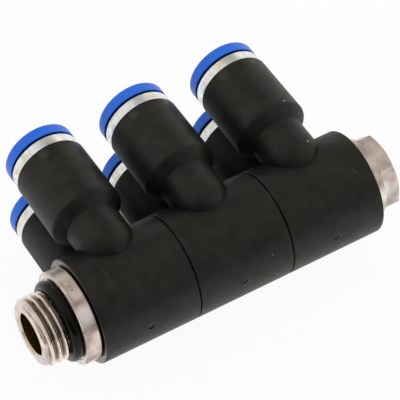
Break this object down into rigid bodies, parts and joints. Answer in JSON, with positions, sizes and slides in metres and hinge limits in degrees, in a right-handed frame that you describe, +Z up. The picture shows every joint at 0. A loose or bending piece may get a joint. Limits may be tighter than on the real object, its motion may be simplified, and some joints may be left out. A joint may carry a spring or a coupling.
{
  "type": "air manifold block",
  "caption": "Pneumatic manifold: swivel bodies with push-in tube outlets and blue release rings, stacked on a hollow plated stud with a port thread and a hex end.",
  "frame": {"origin": "on the stud axis, in the plane of the flange face that meets the port", "axes": "+X along the stud from the port thread to the hex end, +Y along the outlets towards their mouths, +Z up"},
  "size_m": [0.0728, 0.0399, 0.0292],
  "materials": {
    "nickel_plated_brass": "nickel plated, satin turned",
    "black_pbt": "satin moulded",
    "blue_pom": "smooth moulded",
    "nitrile_rubber": "matt",
    "spring_steel": "bright rolled"
  },
  "bodies": {
    "stud": {"hollow_stud": "nickel_plated_brass", "end_cap": "nickel_plated_brass", "port_seal": "nitrile_rubber", "shaft_seal_1": "nitrile_rubber", "shaft_seal_2": "nitrile_rubber", "shaft_seal_3": "nitrile_rubber", "shaft_seal_4": "nitrile_rubber", "shaft_seal_5": "nitrile_rubber", "shaft_seal_6": "nitrile_rubber"},
    "swivel_1": {"swivel_body_1": "black_pbt", "tube_seal_1_top": "nitrile_rubber", "tube_seal_1_low": "nitrile_rubber", "claw_1_top": "spring_steel", "claw_1_low": "spring_steel", "guide_ring_1_top": "nickel_plated_brass", "guide_ring_1_low": "nickel_plated_brass"},
    "swivel_2": {"swivel_body_2": "black_pbt", "tube_seal_2_top": "nitrile_rubber", "tube_seal_2_low": "nitrile_rubber", "claw_2_top": "spring_steel", "claw_2_low": "spring_steel", "guide_ring_2_top": "nickel_plated_brass", "guide_ring_2_low": "nickel_plated_brass"},
    "swivel_3": {"swivel_body_3": "black_pbt", "tube_seal_3_top": "nitrile_rubber", "tube_seal_3_low": "nitrile_rubber", "claw_3_top": "spring_steel", "claw_3_low": "spring_steel", "guide_ring_3_top": "nickel_plated_brass", "guide_ring_3_low": "nickel_plated_brass"},
    "release_1_top": {"release_ring_1_top": "blue_pom"},
    "release_1_low": {"release_ring_1_low": "blue_pom"},
    "release_2_top": {"release_ring_2_top": "blue_pom"},
    "release_2_low": {"release_ring_2_low": "blue_pom"},
    "release_3_top": {"release_ring_3_top": "blue_pom"},
    "release_3_low": {"release_ring_3_low": "blue_pom"}
  },
  "joints": [
    {"name": "swivel_turn_1", "type": "hinge", "parent": "stud", "child": "swivel_1", "pos_m": [0.01205, 0, 0], "axis": [1, 0, 0], "continuous": true},
    {"name": "swivel_turn_2", "type": "hinge", "parent": "stud", "child": "swivel_2", "pos_m": [0.03129, 0, 0], "axis": [1, 0, 0], "continuous": true},
    {"name": "swivel_turn_3", "type": "hinge", "parent": "stud", "child": "swivel_3", "pos_m": [0.05051, 0, 0], "axis": [1, 0, 0], "continuous": true},
    {"name": "release_press_1_top", "type": "slide", "parent": "swivel_1", "child": "release_1_top", "axis": [0, -1, 0], "range_m": [0, 0.00042], "stiffness_N_per_m": 500},
    {"name": "release_press_1_low", "type": "slide", "parent": "swivel_1", "child": "release_1_low", "axis": [0, -1, 0], "range_m": [0, 0.00042], "stiffness_N_per_m": 500},
    {"name": "release_press_2_top", "type": "slide", "parent": "swivel_2", "child": "release_2_top", "axis": [0, -1, 0], "range_m": [0, 0.00042], "stiffness_N_per_m": 500},
    {"name": "release_press_2_low", "type": "slide", "parent": "swivel_2", "child": "release_2_low", "axis": [0, -1, 0], "range_m": [0, 0.00042], "stiffness_N_per_m": 500},
    {"name": "release_press_3_top", "type": "slide", "parent": "swivel_3", "child": "release_3_top", "axis": [0, -1, 0], "range_m": [0, 0.00042], "stiffness_N_per_m": 500},
    {"name": "release_press_3_low", "type": "slide", "parent": "swivel_3", "child": "release_3_low", "axis": [0, -1, 0], "range_m": [0, 0.00042], "stiffness_N_per_m": 500}
  ]
}
